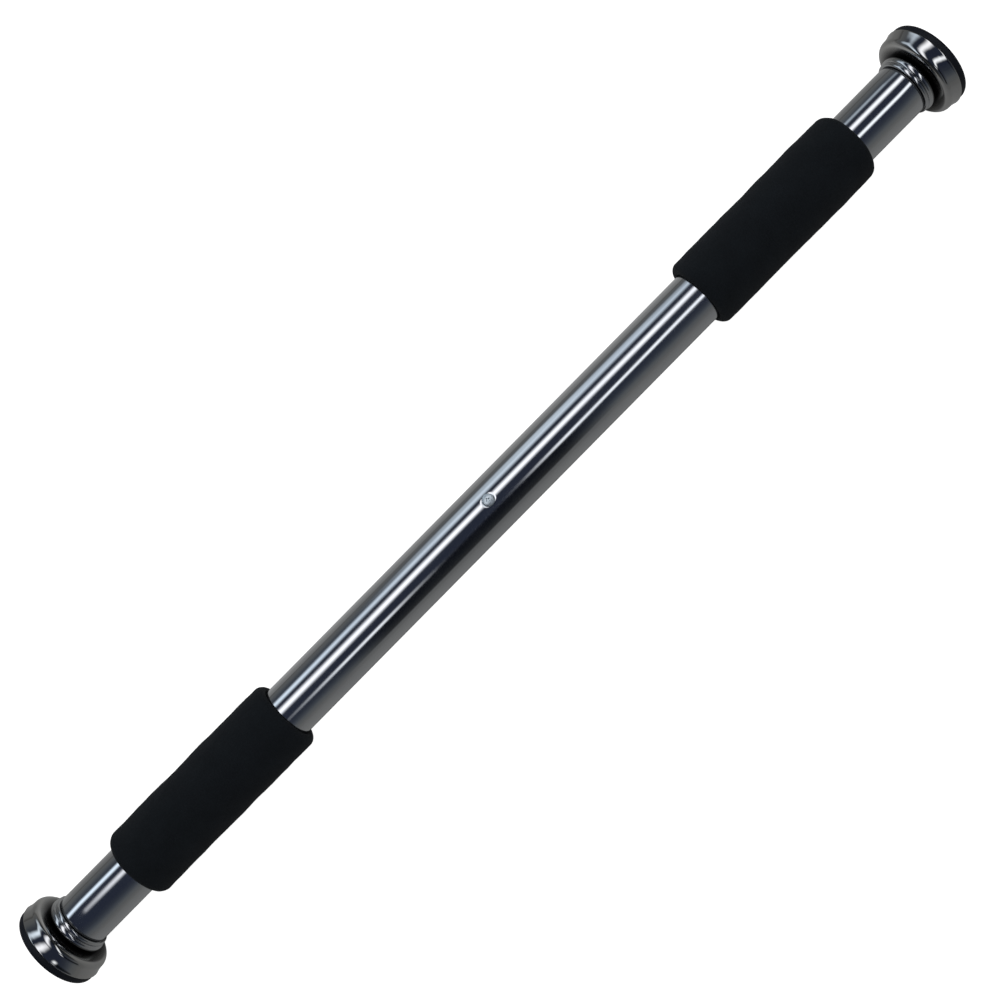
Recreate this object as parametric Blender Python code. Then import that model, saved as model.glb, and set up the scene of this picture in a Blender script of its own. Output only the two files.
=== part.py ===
"""Doorway pull up bar, a turnbuckle: one steel tube with foam grips, and a threaded end with a padded cup at
each side. The bar lies along X with its middle at the origin, closed to its shortest. The right end has a
right-hand thread and the left end is its mirror image, so turning the tube moves both ends out or in
together."""

import math

import bmesh
import bpy

# Sizes in metres. The bar as a whole:
closed_length = 0.650
end_travel = 0.125
fit_gap = 0.0003

# Tube, and the screw at its middle
tube_radius = 0.015
tube_wall = 0.0015
dimple_depth = 0.0011
dimple_flare = 1.4
screw_radius = 0.00175
screw_length = 0.012
screw_head_radius = 0.0034
screw_head_height = 0.0022
screw_head_rim = 0.0008
recess_reach = 0.0019
recess_width = 0.0009
recess_depth = 0.0012
core_length = 0.060

# Foam grips
grip_length = 0.112
grip_thickness = 0.00575
grip_setback = 0.039
grip_edge_radius = 0.0030

# Thread, and the nut in each end of the tube
thread_pitch = 0.006
thread_depth = 0.0013
crest_width = 0.0018
tooth_root_width = 0.0033
radial_clearance = 0.00045
flank_clearance = 0.0005
nut_wall = 0.00195
nut_length = 0.030

# Plastic ring that closes each tube end
ring_flange = 0.0006
ring_sleeve = 0.0072

# Spindle, its plug, and the guide on its inner end
spindle_wall = 0.0025
journal_step = 0.0009
bush_length = 0.014
bush_clearance = 0.0004
clip_thickness = 0.0012
clip_height = 0.0020
clip_groove_depth = 0.0007
clip_opening = math.radians(40)
spindle_tail = 0.0020
plug_length = 0.020

# Collar, cup and pad, from the tube outwards
first_bead = 0.0011
second_bead = 0.0017
bead_lift = 0.0003
neck_length = 0.0015
neck_depth = 0.0010
cup_radius = 0.025
cup_wall = 0.0015
cup_depth = 0.0088
cup_corner = 0.0030
cup_flare = 0.0009
pad_lip = 0.0043
pad_inset = 0.0005
pad_edge_radius = 0.0020
pad_floor = 0.0050

# Bolt and washer that hold the cup on the spindle
bolt_radius = 0.0030
bolt_reach = 0.018
bolt_head_flats = 0.010
bolt_head_height = 0.0038
washer_radius = 0.0080
washer_thickness = 0.0010

# Facets round each piece, and along its rounded edges
tube_segments = 32
round_segments = 24
thread_segments = 14
small_segments = 16
edge_steps = 3
curve_steps = 4

# Fits, worked out from the sizes above
tube_bore = tube_radius - tube_wall
nut_radius = tube_bore - fit_gap
nut_root_radius = nut_radius - nut_wall
thread_radius = nut_root_radius - radial_clearance
shank_radius = thread_radius - thread_depth
nut_crest_radius = shank_radius + radial_clearance
spindle_bore = shank_radius - spindle_wall
journal_radius = shank_radius - journal_step
groove_radius = journal_radius - clip_groove_depth
bolt_hole = bolt_radius + fit_gap
bead_ring = tube_radius + bead_lift
collar_neck = tube_radius - neck_depth
cup_crest = cup_radius - cup_flare
shoulder_radius = min(cup_corner, cup_crest - collar_neck - fit_gap)
shoulder_ring = cup_crest - shoulder_radius

# Places along the end, from the tube's end face outwards
ring_face = fit_gap + ring_flange
collar_start = ring_face + fit_gap
collar_end = collar_start + 2 * (first_bead + second_bead) + neck_length
cup_start = collar_end + fit_gap
shoulder_middle = cup_start + shoulder_radius
cup_rim = cup_start + cup_depth
pad_face = cup_rim + fit_gap + pad_lip
washer_start = cup_start + cup_wall + fit_gap
bolt_head_start = washer_start + washer_thickness + fit_gap
nut_outer_face = -(ring_sleeve + fit_gap)
nut_inner_face = nut_outer_face - nut_length
shoulder = nut_inner_face - end_travel - fit_gap
bush_start = shoulder - fit_gap
bush_end = bush_start - bush_length
groove_end = bush_end - clip_thickness - 2 * fit_gap
spindle_end = groove_end - spindle_tail

tube_end = closed_length / 2 - pad_face
weld_distance = 1e-6
smooth_below = math.radians(35)

finishes = {
    "chrome": ((0.62, 0.63, 0.65), 1.0, 0.08),
    "plated_steel": ((0.48, 0.49, 0.50), 1.0, 0.30),
    "zinc_steel": ((0.55, 0.56, 0.55), 1.0, 0.38),
    "black_foam": ((0.008, 0.009, 0.010), 0.0, 0.85),
    "black_rubber": ((0.012, 0.012, 0.014), 0.0, 0.60),
    "black_plastic": ((0.010, 0.010, 0.012), 0.0, 0.45),
    "white_nylon": ((0.75, 0.74, 0.70), 0.0, 0.40),
}


def clear_scene():
    for obj in list(bpy.data.objects):
        bpy.data.objects.remove(obj, do_unlink=True)


def finished(name, bm, finish, parent=None):
    """A smooth shaded object of its own, with its own material, from a closed bmesh."""
    bmesh.ops.remove_doubles(bm, verts=bm.verts, dist=weld_distance)
    bmesh.ops.recalc_face_normals(bm, faces=bm.faces)
    mesh = bpy.data.meshes.new(name)
    bm.to_mesh(mesh)
    bm.free()
    mesh.shade_smooth()
    mesh.set_sharp_from_angle(angle=smooth_below)
    obj = bpy.data.objects.new(name, mesh)
    bpy.context.scene.collection.objects.link(obj)
    obj.parent = parent
    colour, metallic, roughness = finishes[finish]
    material = bpy.data.materials.new(name + "_" + finish)
    material.use_nodes = True
    shader = material.node_tree.nodes["Principled BSDF"]
    shader.inputs["Base Color"].default_value = (*colour, 1.0)
    shader.inputs["Metallic"].default_value = metallic
    shader.inputs["Roughness"].default_value = roughness
    mesh.materials.append(material)
    return obj


def arc(centre_u, centre_r, radius, start, end, steps):
    """Points of an arc in a turned profile, at angles in degrees from the outward axis."""
    points = []
    for step in range(steps + 1):
        angle = math.radians(start + (end - start) * step / steps)
        points.append((centre_u + radius * math.cos(angle), centre_r + radius * math.sin(angle)))
    return points


def turned(name, profile, finish, side=1, parent=None, segments=round_segments):
    """A profile of (distance along, radius) spun round the X axis. It is closed unless it meets the axis."""
    bm = bmesh.new()
    verts = [bm.verts.new((side * along, 0.0, radius)) for along, radius in profile]
    edges = [bm.edges.new(pair) for pair in zip(verts, verts[1:])]
    if min(radius for _, radius in profile) > 0:
        edges.append(bm.edges.new((verts[-1], verts[0])))
    bmesh.ops.spin(bm, geom=verts + edges, cent=(0, 0, 0), axis=(1, 0, 0), angle=math.tau, steps=segments)
    return finished(name, bm, finish, parent)


def ring_of(bm, along, radius, segments):
    """Points round the X axis, from the top towards +Y."""
    ring = []
    for number in range(segments):
        angle = math.tau * number / segments
        ring.append(bm.verts.new((along, radius * math.sin(angle), radius * math.cos(angle))))
    return ring


def join_loops(bm, loops):
    """Walls between closed loops that have the same number of points."""
    for loop, following in zip(loops, loops[1:]):
        for number in range(len(loop)):
            beside = (number + 1) % len(loop)
            bm.faces.new((loop[number], loop[beside], following[beside], following[number]))


def cut(obj, cutter):
    modifier = obj.modifiers.new(cutter.name, "BOOLEAN")
    modifier.operation = "DIFFERENCE"
    modifier.solver = "EXACT"
    modifier.object = cutter
    cutter.hide_render = True
    cutter.display_type = "WIRE"


def upright_cone(name, lower_radius, upper_radius, bottom, top):
    bm = bmesh.new()
    bmesh.ops.create_cone(
        bm,
        cap_ends=True,
        segments=small_segments,
        radius1=lower_radius,
        radius2=upper_radius,
        depth=top - bottom,
    )
    bmesh.ops.translate(bm, verts=bm.verts, vec=(0, 0, (top + bottom) / 2))
    return finished(name, bm, "zinc_steel")


def make_tube():
    tube = turned(
        "outer_tube",
        [
            (-tube_end, tube_bore),
            (-tube_end, tube_radius),
            (tube_end, tube_radius),
            (tube_end, tube_bore),
        ],
        "chrome",
        segments=tube_segments,
    )
    floor = tube_radius - dimple_depth
    seat_radius = screw_head_radius + fit_gap
    rise = 2 * dimple_depth
    flared_radius = seat_radius + rise * dimple_flare
    cut(tube, upright_cone("dimple_cutter", seat_radius, flared_radius, floor, floor + rise))
    hole = screw_radius + fit_gap
    cut(tube, upright_cone("tube_hole_cutter", hole, hole, tube_bore / 2, 2 * tube_radius))


def make_core():
    """The plug inside the middle of the tube, which the screw bites into."""
    radius = tube_bore - fit_gap
    half = core_length / 2
    profile = [(-half, 0), (-half, radius), (half, radius), (half, 0)]
    core = turned("core_plug", profile, "white_nylon", segments=round_segments)
    seat = tube_radius - dimple_depth + fit_gap
    tip = seat - screw_length
    hole = screw_radius + fit_gap
    cut(core, upright_cone("core_hole_cutter", hole, hole, tip - fit_gap, 2 * tube_radius))
    return seat, tip


def make_screw(seat, tip):
    """A pan head screw with a cross recess, upright at the middle of the bar."""
    rim = seat + screw_head_rim
    dome = screw_head_height - screw_head_rim
    profile = [(tip, 0), (tip, screw_radius), (seat, screw_radius), (seat, screw_head_radius)]
    for step in range(curve_steps):
        angle = math.radians(90 * step / curve_steps)
        profile.append((rim + dome * math.sin(angle), screw_head_radius * math.cos(angle)))
    profile.append((rim + dome, 0))
    screw = turned("core_screw", profile, "zinc_steel", segments=small_segments)
    # spun round X, then stood up
    screw.rotation_euler.y = -math.pi / 2
    bm = bmesh.new()
    half = recess_width / 2
    corners = []
    for quarter in range(4):
        turn = math.pi / 2 * quarter
        for along, across in ((half, -half), (recess_reach, -half), (recess_reach, half)):
            x = along * math.cos(turn) - across * math.sin(turn)
            y = along * math.sin(turn) + across * math.cos(turn)
            corners.append(bm.verts.new((x, y, rim + dome - recess_depth)))
    floor = bm.faces.new(corners)
    walls = bmesh.ops.extrude_face_region(bm, geom=[floor])
    raised = [item for item in walls["geom"] if isinstance(item, bmesh.types.BMVert)]
    bmesh.ops.translate(bm, verts=raised, vec=(0, 0, 2 * recess_depth))
    cut(screw, finished("recess_cutter", bm, "zinc_steel"))


def make_grip(name, side):
    outer = tube_radius + grip_thickness
    inner = tube_radius + fit_gap
    far = tube_end - grip_setback
    near = far - grip_length
    edge = grip_edge_radius
    profile = [(near, inner)]
    profile += arc(near + edge, outer - edge, edge, 180, 90, edge_steps)
    profile += arc(far - edge, outer - edge, edge, 90, 0, edge_steps)
    profile.append((far, inner))
    turned(name, profile, "black_foam", side)


def threaded(name, finish, side, parent, start, end, root, crest, root_half, crest_half, lead_in, wrap):
    """A solid with one helical tooth between start and end. Each column of points runs along the axis, a step
    of the pitch further than the one before it, so the last column meets the first one tooth later. The tooth
    fades out at both ends, where the surface is a plain cylinder, and wrap is the rest of the profile."""
    tooth = ((-root_half, False), (-crest_half, True), (crest_half, True), (root_half, False))
    first = math.floor((start + root_half - lead_in) / thread_pitch) + 1
    last = math.ceil((end - root_half - lead_in) / thread_pitch) - 1
    step = thread_pitch / thread_segments
    fade_start = lead_in + thread_pitch * (first + 1) - root_half
    fade_end = lead_in + thread_pitch * (last - 1) + root_half
    bm = bmesh.new()

    def point(column, along, radius):
        angle = math.tau * column / thread_segments
        return bm.verts.new((side * along, -radius * math.sin(angle), radius * math.cos(angle)))

    columns = []
    for column in range(thread_segments):
        rows = []
        for number in range(first, last):
            for offset, is_crest in tooth:
                along = lead_in + thread_pitch * number + offset + step * column
                fade = min(along - fade_start, fade_end - along) / thread_pitch
                share = max(0.0, min(1.0, fade)) if is_crest else 0.0
                rows.append(point(column, along, root + (crest - root) * share))
        columns.append(rows)
    rings = []
    for along, radius in [(end, root), *wrap, (start, root)]:
        rings.append([point(column, along, radius) for column in range(thread_segments)])
    near, far = rings[-1], rings[0]
    row_count = len(columns[0])
    turn = len(tooth)
    for left, right in zip(columns, columns[1:]):
        for row in range(row_count - 1):
            bm.faces.new((left[row], right[row], right[row + 1], left[row + 1]))
    seam_left, seam_right = columns[-1], columns[0]
    for row in range(row_count - 1 - turn):
        bm.faces.new((seam_left[row], seam_right[row + turn], seam_right[row + turn + 1], seam_left[row + 1]))
    for column in range(thread_segments - 1):
        left, right = columns[column], columns[column + 1]
        bm.faces.new((near[column], near[column + 1], right[0], left[0]))
        bm.faces.new((left[-1], right[-1], far[column + 1], far[column]))
    bm.faces.new((near[-1], near[0], *seam_right[: turn + 1], seam_left[0]))
    bm.faces.new((*seam_left[-turn - 1 :], far[-1], far[0], seam_right[-1]))
    join_loops(bm, rings)
    return finished(name, bm, finish, parent)


def make_nut(name, side, parent):
    """The nut fills the spindle's groove, half a pitch along from its tooth, less the clearances."""
    slope = (tooth_root_width - crest_width) / 2 / thread_depth
    groove_half = (thread_pitch - tooth_root_width) / 2
    crest_half = groove_half + slope * radial_clearance - flank_clearance
    root_half = crest_half + slope * (nut_root_radius - nut_crest_radius)
    threaded(
        name,
        "plated_steel",
        side,
        parent,
        nut_inner_face,
        nut_outer_face,
        nut_root_radius,
        nut_crest_radius,
        root_half,
        crest_half,
        thread_pitch / 2,
        [(nut_outer_face, nut_radius), (nut_inner_face, nut_radius)],
    )


def make_spindle(name, side, parent):
    threaded(
        name,
        "plated_steel",
        side,
        parent,
        shoulder,
        0.0,
        shank_radius,
        thread_radius,
        tooth_root_width / 2,
        crest_width / 2,
        0.0,
        [
            (collar_end, shank_radius),
            (collar_end, spindle_bore),
            (spindle_end, spindle_bore),
            (spindle_end, journal_radius),
            (groove_end, journal_radius),
            (groove_end, groove_radius),
            (bush_end, groove_radius),
            (bush_end, journal_radius),
            (shoulder, journal_radius),
        ],
    )


def make_guide(name, side, parent):
    bore = journal_radius + fit_gap
    outer = tube_bore - bush_clearance
    profile = [(bush_end, bore), (bush_end, outer), (bush_start, outer), (bush_start, bore)]
    turned(name, profile, "white_nylon", side, parent)


def make_clip(name, side, parent):
    """An open ring in the groove at the spindle's inner end. It keeps the guide bush on."""
    inner = groove_radius + fit_gap
    outer = inner + clip_height
    start = bush_end - fit_gap
    end = start - clip_thickness
    bm = bmesh.new()
    sections = []
    for number in range(small_segments + 1):
        angle = clip_opening / 2 + (math.tau - clip_opening) * number / small_segments
        section = []
        for along, radius in ((start, inner), (start, outer), (end, outer), (end, inner)):
            section.append(bm.verts.new((side * along, radius * math.sin(angle), radius * math.cos(angle))))
        sections.append(section)
    join_loops(bm, sections)
    bm.faces.new(sections[0])
    bm.faces.new(sections[-1])
    return finished(name, bm, "zinc_steel", parent)


def make_tube_ring(name, side, parent):
    """A plastic ring with a sleeve in the tube's mouth and a thin flange between tube and collar."""
    bore = thread_radius + 2 * fit_gap
    sleeve = tube_bore - fit_gap
    profile = [
        (-ring_sleeve, bore),
        (-ring_sleeve, sleeve),
        (fit_gap, sleeve),
        (fit_gap, tube_radius),
        (ring_face, tube_radius),
        (ring_face, bore),
    ]
    turned(name, profile, "black_plastic", side, parent)


def make_spindle_plug(name, side, parent):
    outer = spindle_bore - fit_gap
    end = collar_end - fit_gap
    start = end - plug_length
    profile = [(start, bolt_hole), (start, outer), (end, outer), (end, bolt_hole)]
    turned(name, profile, "zinc_steel", side, parent, small_segments)


def make_collar(name, side, parent):
    """A turned collar: a small round bead next to the tube, a larger one, and a sunk neck before the cup."""
    bore = shank_radius + fit_gap
    first_middle = collar_start + first_bead
    second_middle = first_middle + first_bead + second_bead
    profile = [(collar_start, bore)]
    profile += arc(first_middle, bead_ring, first_bead, 180, 0, curve_steps)
    profile += arc(second_middle, bead_ring, second_bead, 180, 0, curve_steps)[1:]
    profile.append((second_middle + second_bead, collar_neck))
    profile.append((collar_end, collar_neck))
    profile.append((collar_end, bore))
    turned(name, profile, "chrome", side, parent)


def make_cup(name, side, parent):
    """A pressed cup: a flat back, a round shoulder, and a skirt that flares in a hollow curve to the rim."""
    run = cup_rim - shoulder_middle
    flare_radius = (run**2 + cup_flare**2) / (2 * cup_flare)
    flare_ring = cup_crest + flare_radius
    inner_radius = flare_radius + cup_wall
    sweep = math.degrees(math.asin(run / flare_radius))
    inner_sweep = math.degrees(math.asin(run / inner_radius))
    profile = [(cup_start, bolt_hole)]
    profile += arc(shoulder_middle, shoulder_ring, shoulder_radius, 180, 90, curve_steps)
    profile += arc(shoulder_middle, flare_ring, flare_radius, -90, sweep - 90, curve_steps)[1:]
    profile += arc(shoulder_middle, flare_ring, inner_radius, inner_sweep - 90, -90, curve_steps)
    profile += arc(shoulder_middle, shoulder_ring, shoulder_radius - cup_wall, 90, 180, edge_steps)[1:]
    profile.append((cup_start + cup_wall, bolt_hole))
    turned(name, profile, "chrome", side, parent)


def make_pad(name, side, parent):
    """A rubber pad seated in the cup, with a rounded lip over its rim and a pocket for the bolt head."""
    plug_corner = shoulder_radius - cup_wall - fit_gap
    lip_start = cup_rim + fit_gap
    lip = cup_radius - pad_inset
    edge = pad_edge_radius
    pocket = washer_radius + 2 * fit_gap
    back = shoulder_middle - plug_corner
    profile = [(pad_face - pad_floor, 0), (pad_face - pad_floor, pocket), (back, pocket)]
    profile += arc(shoulder_middle, shoulder_ring, plug_corner, 180, 90, edge_steps)
    profile.append((lip_start, shoulder_ring + plug_corner))
    profile.append((lip_start, lip))
    profile += arc(pad_face - edge, lip - edge, edge, 90, 0, edge_steps)
    profile.append((pad_face, 0))
    turned(name, profile, "black_rubber", side, parent)


def make_washer(name, side, parent):
    end = washer_start + washer_thickness
    profile = [
        (washer_start, bolt_hole),
        (washer_start, washer_radius),
        (end, washer_radius),
        (end, bolt_hole),
    ]
    turned(name, profile, "zinc_steel", side, parent)


def make_bolt(name, side, parent):
    """A hexagon bolt, its shank towards the middle of the bar. The shank has six sides as well."""
    tip = bolt_head_start - bolt_reach
    head_end = bolt_head_start + bolt_head_height
    head_corner = bolt_head_flats / math.sqrt(3)
    bm = bmesh.new()
    sides = 6
    rings = [
        ring_of(bm, side * tip, bolt_radius, sides),
        ring_of(bm, side * bolt_head_start, bolt_radius, sides),
        ring_of(bm, side * bolt_head_start, head_corner, sides),
        ring_of(bm, side * head_end, head_corner, sides),
    ]
    join_loops(bm, rings)
    bm.faces.new(rings[0])
    bm.faces.new(rings[-1])
    finished(name, bm, "zinc_steel", parent)


def make_end(side_name, side):
    """One end of the bar: what stays in the tube, and what screws in and out of it."""
    axis = bpy.data.objects.new(side_name + "_end_axis", None)
    axis.location.x = side * tube_end
    bpy.context.scene.collection.objects.link(axis)
    make_grip(side_name + "_foam_grip", side)
    make_nut(side_name + "_thread_nut", side, axis)
    make_tube_ring(side_name + "_tube_ring", side, axis)
    make_guide(side_name + "_guide_bush", side, axis)
    make_spindle(side_name + "_spindle", side, axis)
    make_clip(side_name + "_guide_clip", side, axis)
    make_spindle_plug(side_name + "_spindle_plug", side, axis)
    make_collar(side_name + "_collar", side, axis)
    make_cup(side_name + "_end_cup", side, axis)
    make_washer(side_name + "_cup_washer", side, axis)
    make_bolt(side_name + "_cup_bolt", side, axis)
    make_pad(side_name + "_rubber_pad", side, axis)


clear_scene()
make_tube()
make_screw(*make_core())
make_end("left", -1)
make_end("right", 1)
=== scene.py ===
import math
from functools import partial

import bmesh
import bpy
from mathutils import Matrix, Vector


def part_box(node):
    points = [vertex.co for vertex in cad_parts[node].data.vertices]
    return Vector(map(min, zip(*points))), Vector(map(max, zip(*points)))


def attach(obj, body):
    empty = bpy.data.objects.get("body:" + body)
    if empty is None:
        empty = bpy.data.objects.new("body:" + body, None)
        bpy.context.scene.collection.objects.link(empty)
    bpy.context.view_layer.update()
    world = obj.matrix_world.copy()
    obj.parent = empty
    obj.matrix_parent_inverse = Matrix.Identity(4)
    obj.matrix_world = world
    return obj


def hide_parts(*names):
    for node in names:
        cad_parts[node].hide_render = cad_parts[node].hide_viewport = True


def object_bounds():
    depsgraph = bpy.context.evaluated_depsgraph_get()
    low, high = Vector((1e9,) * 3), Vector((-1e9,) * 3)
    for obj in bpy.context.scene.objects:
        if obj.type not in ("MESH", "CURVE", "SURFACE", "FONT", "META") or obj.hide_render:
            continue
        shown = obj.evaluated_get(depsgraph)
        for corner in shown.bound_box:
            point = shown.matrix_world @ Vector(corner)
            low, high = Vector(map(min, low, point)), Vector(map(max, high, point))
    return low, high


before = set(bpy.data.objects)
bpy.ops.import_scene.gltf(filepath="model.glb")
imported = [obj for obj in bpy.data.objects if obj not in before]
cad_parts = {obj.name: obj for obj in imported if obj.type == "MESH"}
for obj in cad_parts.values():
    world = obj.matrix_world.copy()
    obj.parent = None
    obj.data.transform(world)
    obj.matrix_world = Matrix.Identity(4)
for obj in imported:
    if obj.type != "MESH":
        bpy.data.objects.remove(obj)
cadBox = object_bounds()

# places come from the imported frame, in metres
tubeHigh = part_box("outer_tube")[1]
tubeRadius = tubeHigh.z
tubeEnd = tubeHigh.x
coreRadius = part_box("core_plug")[1].z
sides = {"left": -1, "right": 1}
contactGap = 0.00002  # between finished pieces that rest on each other


def span(node):
    # how far out from the middle a node starts and ends, whichever side it is on
    low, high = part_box(node)
    return sorted((abs(low.x), abs(high.x)))


def radiusOf(node):
    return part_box(node)[1].z


# camera and view

viewSizes = {
    "lens": 45.0,
    "sensor": 36.0,
    "distance": 0.653,
    "elevation": 78.0,
    "roll": 45.38,
    "aside": 0.00409,
    "up": 0.00198,
}


def makeCamera(sizes):
    tilt = math.radians(sizes["elevation"])
    roll = math.radians(sizes["roll"])
    back = Vector((0, -math.cos(tilt), math.sin(tilt)))
    along = Vector((1, 0, 0))
    across = back.cross(along)
    right = along * math.cos(roll) - across * math.sin(roll)
    up = along * math.sin(roll) + across * math.cos(roll)
    camera = bpy.data.objects.new("camera", bpy.data.cameras.new("camera"))
    camera.data.lens = sizes["lens"]
    camera.data.sensor_width = sizes["sensor"]
    camera.data.clip_start = 0.01
    camera.data.clip_end = 50.0
    turn = Matrix((right, up, back)).transposed().to_4x4()
    place = back * sizes["distance"] + right * sizes["aside"] + up * sizes["up"]
    camera.matrix_world = Matrix.Translation(place) @ turn
    bpy.context.scene.collection.objects.link(camera)
    bpy.context.scene.camera = camera


makeCamera(viewSizes)
bpy.context.scene.view_settings.view_transform = "Standard"
print("camera set")


# node helpers

def addNode(tree, kind, inputs=None, **settings):
    # each input, by its name or number, gets a plain value or the socket that feeds it
    node = tree.nodes.new(kind)
    for name, value in settings.items():
        setattr(node, name, value)
    for name, value in (inputs or {}).items():
        if isinstance(value, bpy.types.NodeSocket):
            tree.links.new(value, node.inputs[name])
        else:
            node.inputs[name].default_value = value
    return node


def calc(tree, operation, *items, clamped=False):
    # one sum, on sockets and plain numbers
    node = addNode(tree, "ShaderNodeMath", dict(enumerate(items)), operation=operation, use_clamp=clamped)
    return node.outputs["Value"]


def mapValue(tree, socket, low, high, start=0.0, end=1.0, kind="LINEAR"):
    # what runs from start to end comes out from low to high
    inputs = {"Value": socket, "From Min": start, "From Max": end, "To Min": low, "To Max": high}
    return addNode(tree, "ShaderNodeMapRange", inputs, interpolation_type=kind).outputs["Result"]


def noise(tree, vector, scale, detail, roughness, distortion=0.0):
    inputs = {"Vector": vector, "Scale": scale, "Detail": detail, "Roughness": roughness}
    return addNode(tree, "ShaderNodeTexNoise", inputs | {"Distortion": distortion}).outputs["Fac"]


def mixColours(tree, share, *colours):
    # from the first colour to the second, each of them plain or a socket
    first, second = [item if isinstance(item, bpy.types.NodeSocket) else (*item, 1.0) for item in colours]
    inputs = {"Factor": share, "A": first, "B": second}
    return addNode(tree, "ShaderNodeMix", inputs, data_type="RGBA").outputs["Result"]


def objectPlace(tree):
    return addNode(tree, "ShaderNodeTexCoord").outputs["Object"]


def newMaterial(name):
    material = bpy.data.materials.new(name)
    material.use_nodes = True
    material.node_tree.nodes.clear()
    return material, material.node_tree


def showShader(tree, shader, kind="Material"):
    addNode(tree, "ShaderNodeOutput" + kind, {"Surface": shader.outputs[0]})


def newGroup(name, ins, outs):
    tree = bpy.data.node_groups.new(name, "ShaderNodeTree")
    for label, value in ins:
        socket = tree.interface.new_socket(label, in_out="INPUT", socket_type="NodeSocketFloat")
        socket.default_value = value
    tree.interface.new_socket("Vector", in_out="INPUT", socket_type="NodeSocketVector")
    for label in outs:
        tree.interface.new_socket(label, in_out="OUTPUT", socket_type="NodeSocketFloat")
    return tree, tree.nodes.new("NodeGroupInput").outputs, tree.nodes.new("NodeGroupOutput").inputs


def makeHandlingGroup():
    # faint smears from hands and cloths, and hairline scratches that run round and along
    ins = [("Smear Scale", 22.0), ("Scratch Scale", 900.0), ("Stretch", 0.03)]
    tree, given, target = newGroup("handlingMarks", ins, ["Smear", "Scratch"])
    clouds = noise(tree, given["Vector"], given["Smear Scale"], detail=5.0, roughness=0.6, distortion=0.8)
    smear = mapValue(tree, clouds, 0.0, 1.0, start=0.42, end=0.72, kind="SMOOTHSTEP")
    tree.links.new(smear, target["Smear"])
    stretch = addNode(tree, "ShaderNodeCombineXYZ", {"X": given["Stretch"], "Y": 1.0, "Z": 1.0})
    inputs = {0: given["Vector"], 1: stretch.outputs["Vector"]}
    along = addNode(tree, "ShaderNodeVectorMath", inputs, operation="MULTIPLY")
    lines = noise(tree, along.outputs["Vector"], given["Scratch Scale"], detail=3.0, roughness=0.55)
    tree.links.new(mapValue(tree, lines, 0.0, 1.0, start=0.60, end=0.70), target["Scratch"])
    return tree


def makeGrainGroup():
    # fine moulded or foamed grain: cells with soft walls over a slower unevenness
    ins = [("Cell Scale", 1500.0), ("Patch Scale", 60.0)]
    tree, given, target = newGroup("moulding", ins, ["Height", "Patch"])
    inputs = {"Vector": given["Vector"], "Scale": given["Cell Scale"]}
    cells = addNode(tree, "ShaderNodeTexVoronoi", inputs, feature="F1")
    fine = noise(tree, given["Vector"], given["Cell Scale"], detail=4.0, roughness=0.65)
    fineShare = 0.6
    both = calc(tree, "MULTIPLY_ADD", fine, fineShare, cells.outputs["Distance"])
    tree.links.new(both, target["Height"])
    patch = noise(tree, given["Vector"], given["Patch Scale"], detail=3.0, roughness=0.5)
    tree.links.new(patch, target["Patch"])
    return tree


handlingMarks = makeHandlingGroup()
moulding = makeGrainGroup()
scratchDepth = 0.00002
paintedShadeRoughness = 0.35


def metalMaterial(name, look):
    # where a piece has a painted shade attribute, the metal is dark and dull by that much: painted shade
    # for the groove between the collar and the cup
    material, tree = newMaterial(name)
    inputs = {
        "Vector": objectPlace(tree),
        "Smear Scale": look["smearScale"],
        "Scratch Scale": look["scratchScale"],
        "Stretch": look["stretch"],
    }
    marks = addNode(tree, "ShaderNodeGroup", inputs, node_tree=handlingMarks).outputs
    paintedShade = addNode(tree, "ShaderNodeAttribute", attribute_name="paintedShade").outputs["Fac"]
    colour = mixColours(tree, marks["Smear"], look["colour"], look["dulled"])
    smeared = mapValue(tree, marks["Smear"], look["roughness"], look["smearedRoughness"])
    rough = calc(tree, "MULTIPLY_ADD", marks["Scratch"], look["scratchRoughness"], smeared)
    inputs = {"Strength": look["bump"], "Distance": scratchDepth, "Height": marks["Scratch"]}
    inputs = {
        "Base Color": mixColours(tree, paintedShade, colour, look["paintedShade"]),
        "Metallic": 1.0,
        "Roughness": calc(tree, "MULTIPLY_ADD", paintedShade, paintedShadeRoughness, rough, clamped=True),
        "Normal": addNode(tree, "ShaderNodeBump", inputs).outputs["Normal"],
    }
    showShader(tree, addNode(tree, "ShaderNodeBsdfPrincipled", inputs))
    return material


def softMaterial(name, look):
    material, tree = newMaterial(name)
    inputs = {
        "Vector": objectPlace(tree),
        "Cell Scale": look["cellScale"],
        "Patch Scale": look["patchScale"],
    }
    grain = addNode(tree, "ShaderNodeGroup", inputs, node_tree=moulding).outputs
    inputs = {"Strength": look["bump"], "Distance": look["grainDepth"], "Height": grain["Height"]}
    inputs = {
        "Base Color": mixColours(tree, grain["Patch"], look["colour"], look["paler"]),
        "Roughness": mapValue(tree, grain["Patch"], *look["roughness"]),
        "Specular IOR Level": look["specular"],
        "Sheen Weight": look["sheen"],
        "Normal": addNode(tree, "ShaderNodeBump", inputs).outputs["Normal"],
    }
    showShader(tree, addNode(tree, "ShaderNodeBsdfPrincipled", inputs))
    return material


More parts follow.
